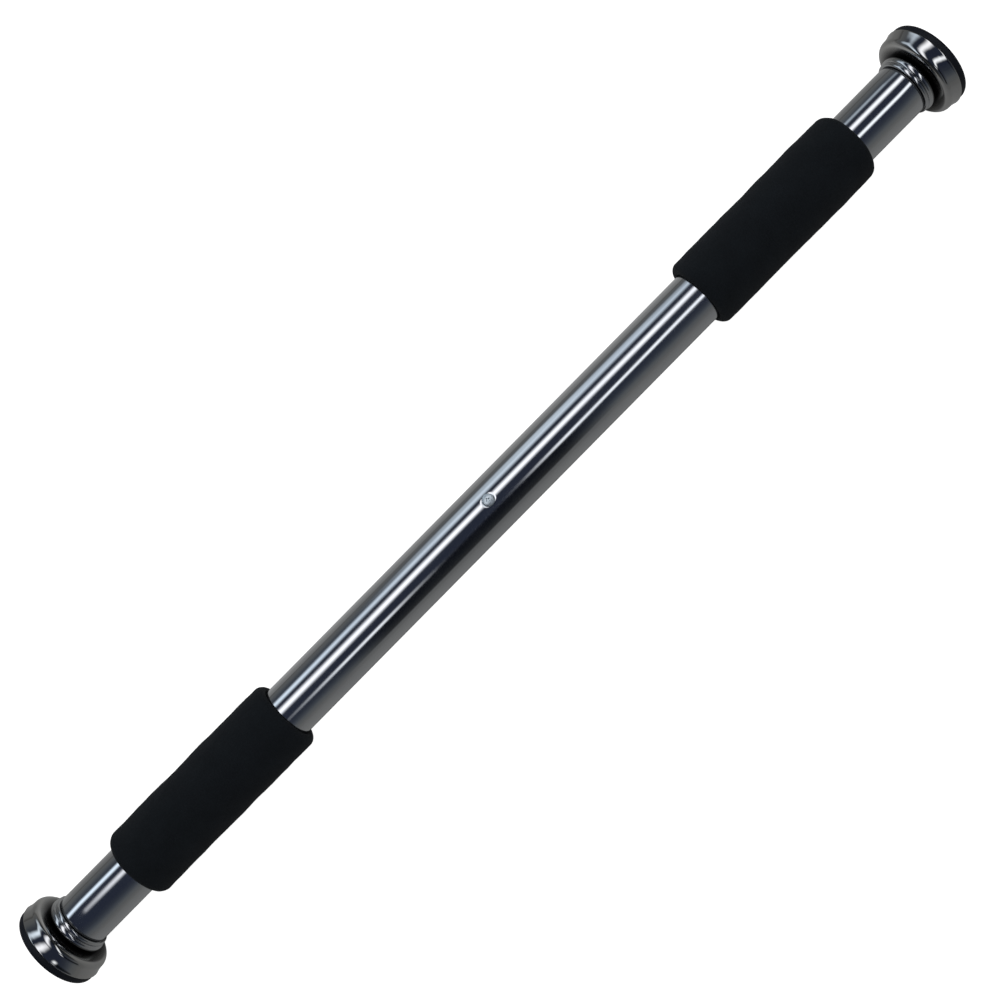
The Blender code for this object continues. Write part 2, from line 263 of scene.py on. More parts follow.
endChrome = {
    # the first colour is the painted shade for the groove between the collar and the cup
    "paintedShade": (0.022, 0.022, 0.026),
    "scratchRoughness": 0.03,
    "smearScale": 60.0,
    "scratchScale": 1100.0,
    "stretch": 0.5,
    "bump": 0.05,
}
metalLooks = {
    "tubeChrome": {
        "colour": (0.74, 0.76, 0.78),
        "dulled": (0.70, 0.72, 0.75),
        "paintedShade": (0.05, 0.05, 0.055),
        "roughness": 0.085,
        "smearedRoughness": 0.12,
        "scratchRoughness": 0.03,
        "smearScale": 22.0,
        "scratchScale": 900.0,
        "stretch": 0.03,
        "bump": 0.02,
    },
    "capChrome": endChrome | {
        "colour": (0.66, 0.66, 0.65),
        "dulled": (0.60, 0.61, 0.62),
        "roughness": 0.035,
        "smearedRoughness": 0.06,
    },
    "collarChrome": endChrome | {
        "colour": (0.70, 0.71, 0.72),
        "dulled": (0.64, 0.66, 0.68),
        "roughness": 0.06,
        "smearedRoughness": 0.09,
    },
    "screwZinc": {
        "colour": (0.74, 0.83, 0.88),
        "dulled": (0.66, 0.74, 0.79),
        "paintedShade": (0.06, 0.06, 0.06),
        "roughness": 0.36,
        "smearedRoughness": 0.42,
        "scratchRoughness": 0.04,
        "smearScale": 300.0,
        "scratchScale": 2500.0,
        "stretch": 1.0,
        "bump": 0.15,
    },
    "threadSteel": {
        "colour": (0.60, 0.60, 0.60),
        "dulled": (0.42, 0.41, 0.39),
        "paintedShade": (0.05, 0.05, 0.05),
        "roughness": 0.22,
        "smearedRoughness": 0.40,
        "scratchRoughness": 0.12,
        "smearScale": 120.0,
        "scratchScale": 1600.0,
        "stretch": 1.0,
        "bump": 0.20,
    },
}

softLooks = {
    "gripFoam": {
        "colour": (0.0024, 0.0041, 0.0060),
        "paler": (0.0056, 0.0084, 0.0115),
        "roughness": (0.82, 0.94),
        "specular": 0.16,
        "sheen": 0.015,
        "cellScale": 1700.0,
        "patchScale": 90.0,
        "grainDepth": 0.00020,
        "bump": 0.55,
    },
    "padRubber": {
        "colour": (0.0026, 0.0040, 0.0082),
        "paler": (0.0056, 0.0076, 0.0128),
        "roughness": (0.42, 0.58),
        "specular": 0.24,
        "sheen": 0.0,
        "cellScale": 2600.0,
        "patchScale": 120.0,
        "grainDepth": 0.00005,
        "bump": 0.35,
    },
    "ringPlastic": {
        "colour": (0.018, 0.020, 0.024),
        "paler": (0.026, 0.028, 0.032),
        "roughness": (0.22, 0.32),
        "specular": 0.6,
        "sheen": 0.0,
        "cellScale": 3200.0,
        "patchScale": 200.0,
        "grainDepth": 0.00003,
        "bump": 0.25,
    },
    "bushNylon": {
        "colour": (0.70, 0.69, 0.65),
        "paler": (0.78, 0.77, 0.73),
        "roughness": (0.38, 0.50),
        "specular": 0.5,
        "sheen": 0.0,
        "cellScale": 2200.0,
        "patchScale": 150.0,
        "grainDepth": 0.00003,
        "bump": 0.25,
    },
}

finishes = {name: metalMaterial(name, look) for name, look in metalLooks.items()}
finishes |= {name: softMaterial(name, look) for name, look in softLooks.items()}
print("materials made:", ", ".join(finishes))


# mesh helpers

def arcPoints(centre, radius, start, end, steps):
    # points of an arc as (along, radius), at angles in degrees from the outward axis
    points = []
    for step in range(steps + 1):
        angle = math.radians(start + (end - start) * step / steps)
        points.append((centre[0] + radius * math.cos(angle), centre[1] + radius * math.sin(angle)))
    return points


def stationsBetween(start, end, step):
    count = max(1, round((end - start) / step))
    return [start + (end - start) * number / count for number in range(count + 1)]


def meshPiece(name, bm, material):
    mesh = bpy.data.meshes.new(name)
    bm.to_mesh(mesh)
    bm.free()
    mesh.materials.append(material)
    piece = bpy.data.objects.new(name, mesh)
    bpy.context.scene.collection.objects.link(piece)
    return piece


def shadeMesh(mesh, sharpAngle):
    mesh.shade_smooth()
    mesh.set_sharp_from_angle(angle=math.radians(sharpAngle))


def finishPiece(name, bm, finish, sharpAngle=40):
    piece = meshPiece(name, bm, finishes[finish])
    shadeMesh(piece.data, sharpAngle)
    return piece


def ringAt(bm, along, radius, columns, turn=1):
    ring = []
    for column in range(columns):
        angle = turn * math.tau * column / columns
        ring.append(bm.verts.new((along, radius * math.sin(angle), radius * math.cos(angle))))
    return ring


def turnedMesh(profile, columns, side=1, centred=False):
    # an outline of (along, radius) turned round the X axis, closed unless it starts and ends on the axis
    bm = bmesh.new()
    rings = []
    for along, radius in profile:
        rings.append(ringAt(bm, side * along, radius, columns if radius else 1))
    pairs = list(zip(rings, rings[1:]))
    if not centred:
        pairs.append((rings[-1], rings[0]))
    for ring, following in pairs:
        for column in range(columns):
            beside = (column + 1) % columns
            corners = [ring[column % len(ring)], ring[beside % len(ring)]]
            corners += [following[beside % len(following)], following[column % len(following)]]
            bm.faces.new(dict.fromkeys(corners))
    bmesh.ops.recalc_face_normals(bm, faces=bm.faces)
    return bm


def skinRows(bm, rows, closed=False):
    # faces between rows that have the same number of points
    for row, following in zip(rows, rows[1:]):
        for number in range(len(row) if closed else len(row) - 1):
            beside = (number + 1) % len(row)
            bm.faces.new((row[number], row[beside], following[beside], following[number]))


def addPaintedShade(bm, share):
    # painted shade: share(along, radius) is how dark and dull the metal is made there, from 0 to 1
    layer = bm.verts.layers.float.new("paintedShade")
    for vert in bm.verts:
        vert[layer] = min(1.0, max(0.0, share(abs(vert.co.x), vert.co.yz.length)))


def applied(piece):
    # the piece with its modifiers made part of its mesh
    graph = bpy.context.evaluated_depsgraph_get()
    mesh = bpy.data.meshes.new_from_object(piece.evaluated_get(graph))
    piece.modifiers.clear()
    piece.data = mesh
    return piece


def cutOut(piece, bm, finish):
    # takes a closed shape out of the piece
    cutter = finishPiece("cutter", bm, finish)
    cut = piece.modifiers.new("cut", "BOOLEAN")
    cut.object = cutter
    cut.solver = "EXACT"
    applied(piece)
    bpy.data.objects.remove(cutter)


def settle(piece, body, node):
    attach(piece, body)
    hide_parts(node)


def newTree(name, floats, counts=(), skin=False):
    # a Geometry Nodes tree. One that is a skin changes the mesh it is given, and others make their own
    tree = bpy.data.node_groups.new(name, "GeometryNodeTree")
    add = tree.interface.new_socket
    if skin:
        add("Geometry", in_out="INPUT", socket_type="NodeSocketGeometry")
    for label in floats:
        add(label, in_out="INPUT", socket_type="NodeSocketFloat")
    for label in counts:
        add(label, in_out="INPUT", socket_type="NodeSocketInt")
    add("Material", in_out="INPUT", socket_type="NodeSocketMaterial")
    add("Geometry", in_out="OUTPUT", socket_type="NodeSocketGeometry")
    return tree, tree.nodes.new("NodeGroupInput").outputs


def closeTree(tree, given, geometry):
    real = addNode(tree, "GeometryNodeRealizeInstances", {"Geometry": geometry})
    inputs = {"Geometry": real.outputs["Geometry"], "Material": given["Material"]}
    paint = addNode(tree, "GeometryNodeSetMaterial", inputs)
    addNode(tree, "NodeGroupOutput", {"Geometry": paint.outputs["Geometry"]})
    return tree


def runTree(piece, tree, values):
    # sets a Geometry Nodes modifier's inputs by identifier and makes its result the mesh
    modifier = piece.modifiers.new(tree.name, "NODES")
    modifier.node_group = tree
    for item in tree.interface.items_tree:
        if item.item_type == "SOCKET" and item.in_out == "INPUT" and item.name in values:
            modifier[item.identifier] = values[item.name]
    return applied(piece)


def treeMesh(name, tree, values):
    # an object whose mesh a tree makes from nothing
    piece = bpy.data.objects.new(name, bpy.data.meshes.new(name))
    bpy.context.scene.collection.objects.link(piece)
    return runTree(piece, tree, values)


# tube, with a pressed dimple at its middle

tubeSizes = {
    "columns": 480,
    "wall": 0.0015,
    "lipRadius": 0.0003,
    "endMargin": 0.01,
    "plainStep": 0.02,
    "dimpleDepth": 0.0003,
    "dimpleFloor": 0.0030,
    "dimpleRise": 0.0014,
    "dimpleMargin": 0.001,
    "dimpleStep": 0.0002,
    "holeRadius": 0.00205,
    "drillDepth": 0.02,
}


def makeTube(sizes):
    lip = sizes["lipRadius"]
    bore = tubeRadius - sizes["wall"]
    plainEnd = tubeEnd - sizes["endMargin"]
    dimpleEnd = sizes["dimpleFloor"] + sizes["dimpleRise"]
    reach = dimpleEnd + sizes["dimpleMargin"]
    stations = stationsBetween(-plainEnd, -reach, sizes["plainStep"])
    stations += stationsBetween(-reach, reach, sizes["dimpleStep"])[1:-1]
    stations += stationsBetween(reach, plainEnd, sizes["plainStep"])
    profile = [(-tubeEnd, bore)]
    profile += arcPoints((-tubeEnd + lip, tubeRadius - lip), lip, 180, 90, 4)
    profile += [(along, tubeRadius) for along in stations]
    profile += arcPoints((tubeEnd - lip, tubeRadius - lip), lip, 90, 0, 4)
    profile.append((tubeEnd, bore))
    bm = turnedMesh(profile, sizes["columns"])
    # the dimple has a flat floor and a straight slope up to a crisp rim
    floor = tubeRadius - sizes["dimpleDepth"]
    for vert in bm.verts:
        away = math.hypot(vert.co.x, vert.co.y)
        outside = vert.co.yz.length > tubeRadius - lip / 2
        if outside and vert.co.z > floor and away < dimpleEnd:
            share = max(0.0, (away - sizes["dimpleFloor"]) / sizes["dimpleRise"])
            vert.co.z = floor + (vert.co.z - floor) * share
    tube = finishPiece("tube_shell", bm, "tubeChrome", sharpAngle=30)
    drill = bmesh.new()
    hole, depth = sizes["holeRadius"], sizes["drillDepth"]
    bmesh.ops.create_cone(drill, cap_ends=True, segments=48, radius1=hole, radius2=hole, depth=depth)
    bmesh.ops.translate(drill, verts=drill.verts, vec=(0, 0, tubeRadius))
    cutOut(tube, drill, "tubeChrome")
    settle(tube, "bar", "outer_tube")


makeTube(tubeSizes)
print("tube turned")


# foam grips

gripSizes = {
    "columns": 224,
    "ringStep": 0.0006,
    "faceStep": 0.0004,
    "boreStep": 0.01,
    "edgeRadius": 0.0042,
    "innerEdge": 0.0010,
    "fit": 0.00004,
    "unevenness": 0.0016,
    "grain": 0.00022,
}
foamLayers = {"Unevenness": (48.0, 2.0), "Grain": (900.0, 3.0)}  # scale and detail of each noise
noiseMiddle = 0.6


def makeFoamTree():
    # pushes a surface in and out along its normals: slow unevenness and fine foam grain
    tree, given = newTree("foamSkin", ("Unevenness", "Grain", "Seed"), skin=True)
    layers = []
    for label, (scale, detail) in foamLayers.items():
        inputs = {"W": given["Seed"], "Scale": scale, "Detail": detail}
        cloud = addNode(tree, "ShaderNodeTexNoise", inputs, noise_dimensions="4D").outputs["Fac"]
        layers.append(calc(tree, "MULTIPLY", calc(tree, "SUBTRACT", cloud, noiseMiddle), given[label]))
    normal = addNode(tree, "GeometryNodeInputNormal").outputs["Normal"]
    inputs = {"Vector": normal, "Scale": calc(tree, "ADD", *layers)}
    push = addNode(tree, "ShaderNodeVectorMath", inputs, operation="SCALE")
    inputs = {"Geometry": given["Geometry"], "Offset": push.outputs["Vector"]}
    return closeTree(tree, given, addNode(tree, "GeometryNodeSetPosition", inputs).outputs["Geometry"])


def makeGrip(sideName, side, sizes, tree):
    node = sideName + "_foam_grip"
    near, far = span(node)
    outer = radiusOf(node)
    bore = tubeRadius + sizes["fit"]
    edge, inner = sizes["edgeRadius"], sizes["innerEdge"]
    faceStep, ringStep = sizes["faceStep"], sizes["ringStep"]
    profile = [(along, bore) for along in stationsBetween(far - inner, near + inner, sizes["boreStep"])]
    profile += arcPoints((near + inner, bore + inner), inner, 270, 180, 3)
    profile += [(near, radius) for radius in stationsBetween(bore + inner, outer - edge, faceStep)[1:-1]]
    profile += arcPoints((near + edge, outer - edge), edge, 180, 90, 12)
    profile += [(along, outer) for along in stationsBetween(near + edge, far - edge, ringStep)[1:-1]]
    profile += arcPoints((far - edge, outer - edge), edge, 90, 0, 12)
    profile += [(far, radius) for radius in stationsBetween(outer - edge, bore + inner, faceStep)[1:-1]]
    profile += arcPoints((far - inner, bore + inner), inner, 0, -90, 3)[:-1]
    bm = turnedMesh(profile, sizes["columns"], side)
    grip = finishPiece(sideName + "_grip_sleeve", bm, "gripFoam", sharpAngle=60)
    values = {"Unevenness": sizes["unevenness"], "Grain": sizes["grain"], "Seed": 3.0 + side}
    runTree(grip, tree, values | {"Material": finishes["gripFoam"]})
    settle(grip, "bar", node)


foamTree = makeFoamTree()
for sideName, side in sides.items():
    makeGrip(sideName, side, gripSizes, foamTree)
print("grips made")


# screw at the middle

screwSizes = {
    "columns": 96,
    "headRadius": 0.0034,
    "headSkirt": 0.0006,
    "headEdge": 0.0001,
    "headSteps": 16,
    "squareness": 2.6,
    "shankRadius": 0.00165,
    "tipShare": 0.35,  # of the shank's radius
    "threadDepth": 0.0003,
    "threadPitch": 0.0012,
    "tipLength": 0.0016,
    "plainLength": 0.0004,
    "recessFloorReach": 0.000675,
    "recessTopReach": 0.001725,
    "recessWidth": 0.0006,
    "recessDepth": 0.0007,
    "recessTop": 0.0005,
    "recessTurn": 4.0,
}


def makeScrew(sizes):
    low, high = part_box("core_screw")
    tip, top = low.z, high.z
    seat = tubeRadius - tubeSizes["dimpleDepth"] + contactGap
    skirtTop = seat + sizes["headSkirt"]
    head, edge, shank = sizes["headRadius"], sizes["headEdge"], sizes["shankRadius"]
    threadStart, threadEnd = tip + sizes["tipLength"], seat - sizes["plainLength"]
    profile = [(tip, 0), (tip + edge, shank * sizes["tipShare"])]
    for number, along in enumerate(stationsBetween(threadStart, threadEnd, sizes["threadPitch"] / 2)):
        profile.append((along, shank if number % 2 else shank - sizes["threadDepth"]))
    profile += [(seat, shank), (seat, head - edge), (seat + edge, head)]
    # a pan head: flat in the middle, round at its edge
    power = 2 / sizes["squareness"]
    for step in range(sizes["headSteps"]):
        angle = math.pi / 2 * step / sizes["headSteps"]
        rise = (top - skirtTop) * math.sin(angle) ** power
        profile.append((skirtTop + rise, head * math.cos(angle) ** power))
    profile.append((top, 0))
    bm = turnedMesh(profile, sizes["columns"], centred=True)
    # turned round X, then stood up
    bmesh.ops.rotate(bm, verts=bm.verts, cent=(0, 0, 0), matrix=Matrix.Rotation(-math.pi / 2, 3, "Y"))
    screw = finishPiece("core_screw_head", bm, "screwZinc", sharpAngle=35)
    # the cross recess narrows towards its floor
    cross = bmesh.new()
    half = sizes["recessWidth"] / 2
    floor = (top - sizes["recessDepth"], sizes["recessFloorReach"])
    loops = []
    for height, reach in (floor, (top + sizes["recessTop"], sizes["recessTopReach"])):
        loop = []
        for quarter in range(4):
            turn = Matrix.Rotation(math.pi / 2 * quarter + math.radians(sizes["recessTurn"]), 3, "Z")
            for corner in ((half, -half), (reach, -half), (reach, half)):
                loop.append(cross.verts.new(turn @ Vector((*corner, height))))
        cross.faces.new(loop)
        loops.append(loop)
    skinRows(cross, loops, True)
    bmesh.ops.recalc_face_normals(cross, faces=cross.faces)
    cutOut(screw, cross, "screwZinc")
    settle(screw, "bar", "core_screw")


makeScrew(screwSizes)
print("screw made")


# threaded spindles

spindleSizes = {
    "columns": 64,
    "pitch": 0.006,
    "depth": 0.0013,
    "crestHalf": 0.0009,
    "rootHalf": 0.00165,
    "wall": 0.0025,
    "tailLength": 0.018,
    "tailStep": 0.0009,
    "chamfer": 0.0008,
    "grooveStart": 0.00176,
    "grooveEnd": 0.0036,
    "grooveSlope": 0.00008,
    "grooveDepth": 0.000675,
    "sharpAngle": 24,
    "bandMerge": 0.000002,
    "seamMerge": 0.00002,
}


def makeThreadTree(mergeDistance):
    # a band round the X axis with one helical tooth, built from a grid. Each column lies a step of the
    # pitch further along, and what falls past the band's ends collapses onto them and is merged away.
    # Corners 0 and 3 of a tooth lie on the root, 1 and 2 on the crest
    floats = ("Pitch", "Crest Half", "Root Half", "Root Radius", "Depth", "Start", "End", "Side")
    tree, given = newTree("threadBand", floats, ("Columns", "Teeth", "First Tooth"))
    work = partial(calc, tree)
    rows = work("MULTIPLY", given["Teeth"], 4.0)
    inputs = {"Vertices X": work("ADD", given["Columns"], 1.0), "Vertices Y": rows}
    grid = addNode(tree, "GeometryNodeMeshGrid", inputs)
    index = addNode(tree, "GeometryNodeInputIndex").outputs["Index"]
    column = work("FLOOR", work("DIVIDE", work("ADD", index, 0.5), rows))
    row = work("SUBTRACT", index, work("MULTIPLY", column, rows))
    tooth = work("FLOOR", work("DIVIDE", work("ADD", row, 0.5), 4.0))
    corner = work("SUBTRACT", row, work("MULTIPLY", tooth, 4.0))
    onRight = work("GREATER_THAN", corner, 1.5)
    isCrest = work("LESS_THAN", work("ABSOLUTE", work("SUBTRACT", corner, 1.5)), 1.0)
    crestHalf = work("MULTIPLY", isCrest, given["Crest Half"])
    rootHalf = work("MULTIPLY", work("SUBTRACT", 1.0, isCrest), given["Root Half"])
    offset = work("MULTIPLY", work("ADD", crestHalf, rootHalf), work("MULTIPLY_ADD", onRight, 2.0, -1.0))
    turned = work("DIVIDE", column, given["Columns"])
    place = work("ADD", work("ADD", tooth, given["First Tooth"]), turned)
    free = work("MULTIPLY_ADD", place, given["Pitch"], offset)
    along = work("MINIMUM", work("MAXIMUM", free, given["Start"]), given["End"])
    fadeIn = work("DIVIDE", work("SUBTRACT", along, given["Start"]), given["Pitch"])
    fadeOut = work("DIVIDE", work("SUBTRACT", given["End"], along), given["Pitch"])
    fade = work("MINIMUM", work("MINIMUM", fadeIn, fadeOut), 1.0)
    rise = work("MULTIPLY", work("MULTIPLY", isCrest, fade), given["Depth"])
    radius = work("ADD", given["Root Radius"], rise)
    angle = work("MULTIPLY", turned, math.tau)
    inputs = {
        "X": work("MULTIPLY", along, given["Side"]),
        "Y": work("MULTIPLY", work("MULTIPLY", radius, -1.0), work("SINE", angle)),
        "Z": work("MULTIPLY", radius, work("COSINE", angle)),
    }
    spot = addNode(tree, "ShaderNodeCombineXYZ", inputs)
    inputs = {"Geometry": grid.outputs["Mesh"], "Position": spot.outputs["Vector"]}
    move = addNode(tree, "GeometryNodeSetPosition", inputs)
    inputs = {"Geometry": move.outputs["Geometry"], "Distance": mergeDistance}
    merge = addNode(tree, "GeometryNodeMergeByDistance", inputs)
    return closeTree(tree, given, merge.outputs["Geometry"])


def makeSpindle(sideName, side, sizes, tree):
    node = sideName + "_spindle"
    inner, outer = span(node)
    low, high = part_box(node)
    root = max(abs(low.z), high.z) - sizes["depth"]
    bore = root - sizes["wall"]
    shoulder = inner + sizes["tailLength"]
    firstTooth = math.floor((shoulder - tubeEnd) / sizes["pitch"]) - 1
    values = {
        "Pitch": sizes["pitch"],
        "Crest Half": sizes["crestHalf"],
        "Root Half": sizes["rootHalf"],
        "Root Radius": root,
        "Depth": sizes["depth"],
        "Start": shoulder - tubeEnd,
        "End": 0.0,
        "Side": float(side),
        "Columns": sizes["columns"],
        "Teeth": 2 - firstTooth,
        "First Tooth": firstTooth,
        "Material": finishes["threadSteel"],
    }
    rod = treeMesh(sideName + "_spindle_rod", tree, values)
    # the plain outer end, the bore, and the journal with its clip groove close the band
    chamfer, slope = sizes["chamfer"], sizes["grooveSlope"]
    journal = root - sizes["tailStep"]
    groove = journal - sizes["grooveDepth"]
    grooveStart, grooveEnd = inner + sizes["grooveStart"], inner + sizes["grooveEnd"]
    profile = [(tubeEnd, root), (outer - chamfer, root), (outer, root - chamfer), (outer, bore)]
    profile += [(inner, bore), (inner, journal - chamfer), (inner + chamfer, journal)]
    profile += [(grooveStart, journal), (grooveStart + slope, groove)]
    profile += [(grooveEnd - slope, groove), (grooveEnd, journal), (shoulder, journal), (shoulder, root)]
    bm = bmesh.new()
    bm.from_mesh(rod.data)
    bmesh.ops.translate(bm, verts=bm.verts, vec=(side * tubeEnd, 0, 0))
    columns = sizes["columns"]
    rings = [ringAt(bm, side * along, radius, columns, -1) for along, radius in profile]
    skinRows(bm, rings, True)
    bmesh.ops.remove_doubles(bm, verts=bm.verts, dist=sizes["seamMerge"])
    bmesh.ops.recalc_face_normals(bm, faces=bm.faces)
    bm.to_mesh(rod.data)
    bm.free()
    shadeMesh(rod.data, sizes["sharpAngle"])
    settle(rod, sideName + "_end", node)


threadTree = makeThreadTree(spindleSizes["bandMerge"])
for sideName, side in sides.items():
    makeSpindle(sideName, side, spindleSizes, threadTree)
print("spindles threaded")


# ring, collar, cup and pad at each end

ringSizes = {"columns": 160, "lip": 0.00025, "inset": 0.0001, "boreGap": 0.0005}


def makeTubeRing(sideName, side, sizes):
    node = sideName + "_tube_ring"
    inner, face = span(node)
    lip = sizes["lip"]
    outer = radiusOf(node) - sizes["inset"]
    bore = radiusOf(sideName + "_spindle") + sizes["boreGap"]
    start = tubeEnd + contactGap
    profile = [(inner, bore), (inner, coreRadius), (start, coreRadius), (start, outer - lip)]
    profile += arcPoints((start + lip, outer - lip), lip, 180, 90, 3)[1:]
    profile += arcPoints((face - lip, outer - lip), lip, 90, 0, 3)
    profile += arcPoints((face - lip, bore + lip), lip, 0, -90, 3)
    ring = finishPiece(sideName + "_mouth_ring", turnedMesh(profile, sizes["columns"], side), "ringPlastic")
    settle(ring, "bar", node)


collarSizes = {
    "columns": 192,
    "firstBead": 0.0011,
    "firstRise": 0.00065,
    "secondBead": 0.0017,
    "secondRise": 0.0010,
    "lift": 0.0003,
    "neckDepth": 0.0010,
    "hollow": 0.0003,
    "boreGap": 0.0003,
    "shadeStart": 0.1,  # shares of the second bead
    "shadeTop": 0.5,
}


def beadPoints(middle, half, crest, rise, steps):
    # the top of a bead, flatter than a half circle
    arc = arcPoints((0, 0), 1.0, 180, 0, steps)
    return [(middle + half * along, crest + rise * (up - 1)) for along, up in arc]


def makeCollar(sideName, side, sizes):
    # a small bead next to the tube, a larger one, and a sunk neck before the cup
    node = sideName + "_collar"
    start, end = span(node)
    bore = radiusOf(sideName + "_spindle") - spindleSizes["depth"] + sizes["boreGap"]
    ring = tubeRadius + sizes["lift"]
    neck = tubeRadius - sizes["neckDepth"]
    first, second, hollow = sizes["firstBead"], sizes["secondBead"], sizes["hollow"]
    secondMiddle = start + 2 * first + second
    secondEnd = secondMiddle + second
    profile = [(start, bore)]
    profile += beadPoints(start + first, first, ring + first, sizes["firstRise"], 18)
    profile += beadPoints(secondMiddle, second, ring + second, sizes["secondRise"], 24)
    profile.append((secondEnd, neck + hollow))
    profile += arcPoints((secondEnd + hollow, neck + hollow), hollow, 180, 270, 4)[1:]
    profile += [(end, neck), (end, bore)]
    bm = turnedMesh(profile, sizes["columns"], side)
    # painted shade: the outer foot of the second bead and the sunk neck are made dark and dull, where shade
    # falls in the groove before the cup
    shadeStart = secondEnd - second * sizes["shadeStart"]
    shadeTop = ring + second * sizes["shadeTop"]
    addPaintedShade(bm, lambda along, radius: float(along > shadeStart and radius < shadeTop))
    collar = finishPiece(sideName + "_beaded_collar", bm, "collarChrome", sharpAngle=50)
    settle(collar, sideName + "_end", node)


cupSizes = {
    "columns": 224,
    "wall": 0.0015,
    "corner": 0.0030,
    "flare": 0.0009,
    "dish": 0.0004,
    "dishRings": (0.04, 0.35, 0.65, 0.96),
    "rimRoll": 0.0006,
    "holeShare": 0.57,  # of the bolt head's reach
    "unshadedShare": 0.3,  # of the shoulder that stays free of painted shade
    "shadeFade": 1.6,
}


def makeCup(sideName, side, sizes):
    # a flat back, a round shoulder and a skirt that flares in a hollow curve to a rolled rim
    node = sideName + "_end_cup"
    start, rim = span(node)
    outer = radiusOf(node)
    hole = radiusOf(sideName + "_cup_bolt") * sizes["holeShare"]
    corner, wall, flare, roll = sizes["corner"], sizes["wall"], sizes["flare"], sizes["rimRoll"]
    middle = (start + corner, outer - flare - corner)
    flareEnd = rim - roll
    run = flareEnd - middle[0]
    flareRadius = (run ** 2 + flare ** 2) / (2 * flare)
    flareMiddle = (middle[0], outer - flare + flareRadius)
    sweep = math.degrees(math.asin(run / flareRadius))
    innerRadius = flareRadius + wall
    innerSweep = math.degrees(math.asin(run / innerRadius))
    # the back dips towards the collar, with close rings so that it shades as a flat cone
    dip = tubeRadius - collarSizes["neckDepth"]
    profile = [(start + sizes["dish"], hole), (start + sizes["dish"], dip)]
    for share in sizes["dishRings"]:
        profile.append((start + sizes["dish"] * (1 - share), dip + (middle[1] - dip) * share))
    profile += arcPoints(middle, corner, 180, 90, 20)
    profile += arcPoints(flareMiddle, flareRadius, -90, sweep - 90, 20)[1:]
    profile += arcPoints((flareEnd, outer - roll), roll, 70, -60, 8)
    profile += arcPoints(flareMiddle, innerRadius, innerSweep - 90, -90, 10)[1:]
    profile += arcPoints(middle, corner - wall, 90, 180, 10)[1:]
    profile.append((start + wall, hole))
    bm = turnedMesh(profile, sizes["columns"], side)
    # painted shade: the back is dark and dull near the collar and fades out towards the shoulder, where
    # shade falls in the groove between them
    unshaded = middle[1] + corner * sizes["unshadedShare"]
    fade = sizes["shadeFade"] / (unshaded - dip)
    addPaintedShade(bm, lambda along, radius: (unshaded - radius) * fade if along < start + corner / 2 else 0)
    cup = finishPiece(sideName + "_pressed_cup", bm, "capChrome")
    settle(cup, sideName + "_end", node)


padSizes = {
    "columns": 192,
    "edge": 0.0022,
    "softEdge": 0.0003,
    "fit": 0.0003,
    "rimGap": 0.0001,
    "pocketRadius": 0.0086,
    "floor": 0.005,
    "recess": 0.0009,
    "landWidth": 0.0030,
    "ribs": 3,
    "ribWidth": 0.0012,
    "nubRadius": 0.0008,
    "nubSpacing": 0.0042,
    "nubShare": 0.9,  # of the recess's depth
    "nubSunk": 0.0001,
    "nubColumns": 14,
    "nubTop": 0.7,  # of its radius
}


def makeNubTree(sizes):
    # a ring of small round nubs that stand on the pad's face
    floats = ("Ring Radius", "Nub Radius", "Height", "Place")
    tree, given = newTree("nubRing", floats, ("Count",))
    inputs = {"Vertices": given["Count"], "Radius": given["Ring Radius"]}
    circle = addNode(tree, "GeometryNodeMeshCircle", inputs)
    inputs = {
        "Vertices": sizes["nubColumns"],
        "Radius Bottom": given["Nub Radius"],
        "Radius Top": calc(tree, "MULTIPLY", given["Nub Radius"], sizes["nubTop"]),
        "Depth": given["Height"],
    }
    nub = addNode(tree, "GeometryNodeMeshCone", inputs)
    inputs = {"Points": circle.outputs["Mesh"], "Instance": nub.outputs["Mesh"]}
    spread = addNode(tree, "GeometryNodeInstanceOnPoints", inputs)
    place = addNode(tree, "ShaderNodeCombineXYZ", {"X": given["Place"]})
    inputs = {
        "Geometry": spread.outputs["Instances"],
        "Translation": place.outputs["Vector"],
        "Rotation": (0, math.pi / 2, 0),
    }
    return closeTree(tree, given, addNode(tree, "GeometryNodeTransform", inputs).outputs["Geometry"])


def nubRing(ringRadius, back, height, sizes, tree):
    values = {
        "Ring Radius": ringRadius,
        "Nub Radius": sizes["nubRadius"],
        "Height": height,
        "Place": back,
        "Count": round(math.tau * ringRadius / sizes["nubSpacing"]),
        "Material": finishes["padRubber"],
    }
    nubs = treeMesh("nubs", tree, values)
    mesh = nubs.data
    bpy.data.objects.remove(nubs)
    return mesh


